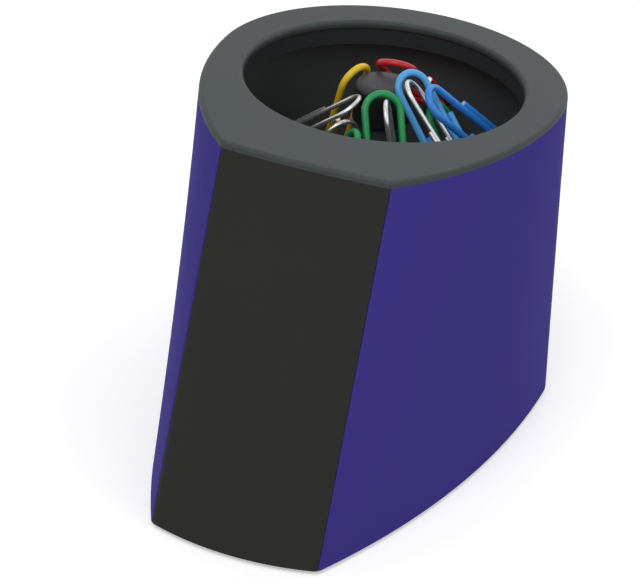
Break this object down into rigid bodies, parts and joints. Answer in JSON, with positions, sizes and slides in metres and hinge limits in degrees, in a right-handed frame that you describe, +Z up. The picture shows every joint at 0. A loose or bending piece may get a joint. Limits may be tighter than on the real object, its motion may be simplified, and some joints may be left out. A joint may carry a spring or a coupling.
{
  "type": "magnetic paper clip holder",
  "caption": "Free-standing desk holder with a slanting front panel, a flat rim round a deep mouth, and a capped magnet on a stem that holds bent wire paper clips upright.",
  "frame": {"origin": "on the ground under the middle of the object", "axes": "+Z up, -Y towards the slanting front panel, +X to the right as seen from the front"},
  "size_m": [0.0624, 0.0884, 0.064],
  "materials": {
    "indigo": "smooth moulded plastic, satin to gloss",
    "black": "fine grained moulded plastic",
    "slate": "fine grained moulded plastic",
    "ferrite": "sintered ferrite",
    "steel": "plated steel",
    "rubber": "matt rubber",
    "clip_yellow": "glossy plastic coat on wire",
    "clip_red": "glossy plastic coat on wire",
    "clip_blue": "glossy plastic coat on wire",
    "clip_green": "glossy plastic coat on wire",
    "clip_steel": "bright nickel-plated wire"
  },
  "bodies": {
    "holder": {"outer_shell": "indigo", "front_panel": "black", "top_rim": "slate", "clip_liner": "black", "clip_tray": "black", "magnet_cap": "slate", "ring_magnet": "ferrite", "magnet_plate": "steel", "magnet_screw": "steel", "base_plate": "black", "base_screws": "steel", "foot_front_left": "rubber", "foot_front_right": "rubber", "foot_back_left": "rubber", "foot_back_right": "rubber"},
    "paper_clip_green_right": {"paper_clip_green_right": "clip_green"},
    "paper_clip_blue_near": {"paper_clip_blue_near": "clip_blue"},
    "paper_clip_steel_right": {"paper_clip_steel_right": "clip_steel"},
    "paper_clip_blue_far": {"paper_clip_blue_far": "clip_blue"},
    "paper_clip_steel_front": {"paper_clip_steel_front": "clip_steel"},
    "paper_clip_green_front": {"paper_clip_green_front": "clip_green"},
    "paper_clip_green_left": {"paper_clip_green_left": "clip_green"},
    "paper_clip_steel_low": {"paper_clip_steel_low": "clip_steel"},
    "paper_clip_steel_left": {"paper_clip_steel_left": "clip_steel"},
    "paper_clip_red": {"paper_clip_red": "clip_red"},
    "paper_clip_yellow": {"paper_clip_yellow": "clip_yellow"}
  },
  "joints": [
    {"name": "lift_green_right", "type": "slide", "parent": "holder", "child": "paper_clip_green_right", "axis": [-0.4707, 0.0401, 0.8814], "range_m": [0, 0.035]},
    {"name": "lift_blue_near", "type": "slide", "parent": "paper_clip_green_right", "child": "paper_clip_blue_near", "axis": [-0.4707, 0.0401, 0.8814], "range_m": [0, 0.04]},
    {"name": "lift_steel_right", "type": "slide", "parent": "paper_clip_blue_near", "child": "paper_clip_steel_right", "axis": [-0.4291, -0.2495, 0.8681], "range_m": [0, 0.03]},
    {"name": "lift_blue_far", "type": "slide", "parent": "paper_clip_steel_right", "child": "paper_clip_blue_far", "axis": [-0.4973, -0.4078, 0.7658], "range_m": [0, 0.04]},
    {"name": "lift_steel_front", "type": "slide", "parent": "holder", "child": "paper_clip_steel_front", "axis": [-0.1896, 0.0898, 0.9777], "range_m": [0, 0.035]},
    {"name": "lift_green_front", "type": "slide", "parent": "paper_clip_steel_front", "child": "paper_clip_green_front", "axis": [-0.1101, 0.0801, 0.9907], "range_m": [0, 0.045]},
    {"name": "lift_green_left", "type": "slide", "parent": "holder", "child": "paper_clip_green_left", "axis": [0.1005, 0, 0.9949], "range_m": [0, 0.045]},
    {"name": "lift_steel_low", "type": "slide", "parent": "holder", "child": "paper_clip_steel_low", "axis": [0.1896, -0.0898, 0.9777], "range_m": [0, 0.065]},
    {"name": "lift_steel_left", "type": "slide", "parent": "paper_clip_steel_low", "child": "paper_clip_steel_left", "axis": [0.3982, -0.3982, 0.8263], "range_m": [0, 0.03]},
    {"name": "lift_red", "type": "slide", "parent": "holder", "child": "paper_clip_red", "axis": [-0.3793, -0.3194, 0.8684], "range_m": [0, 0.025]},
    {"name": "lift_yellow", "type": "slide", "parent": "holder", "child": "paper_clip_yellow", "axis": [-0.1902, 0.2002, 0.9611], "range_m": [0, 0.035]}
  ]
}
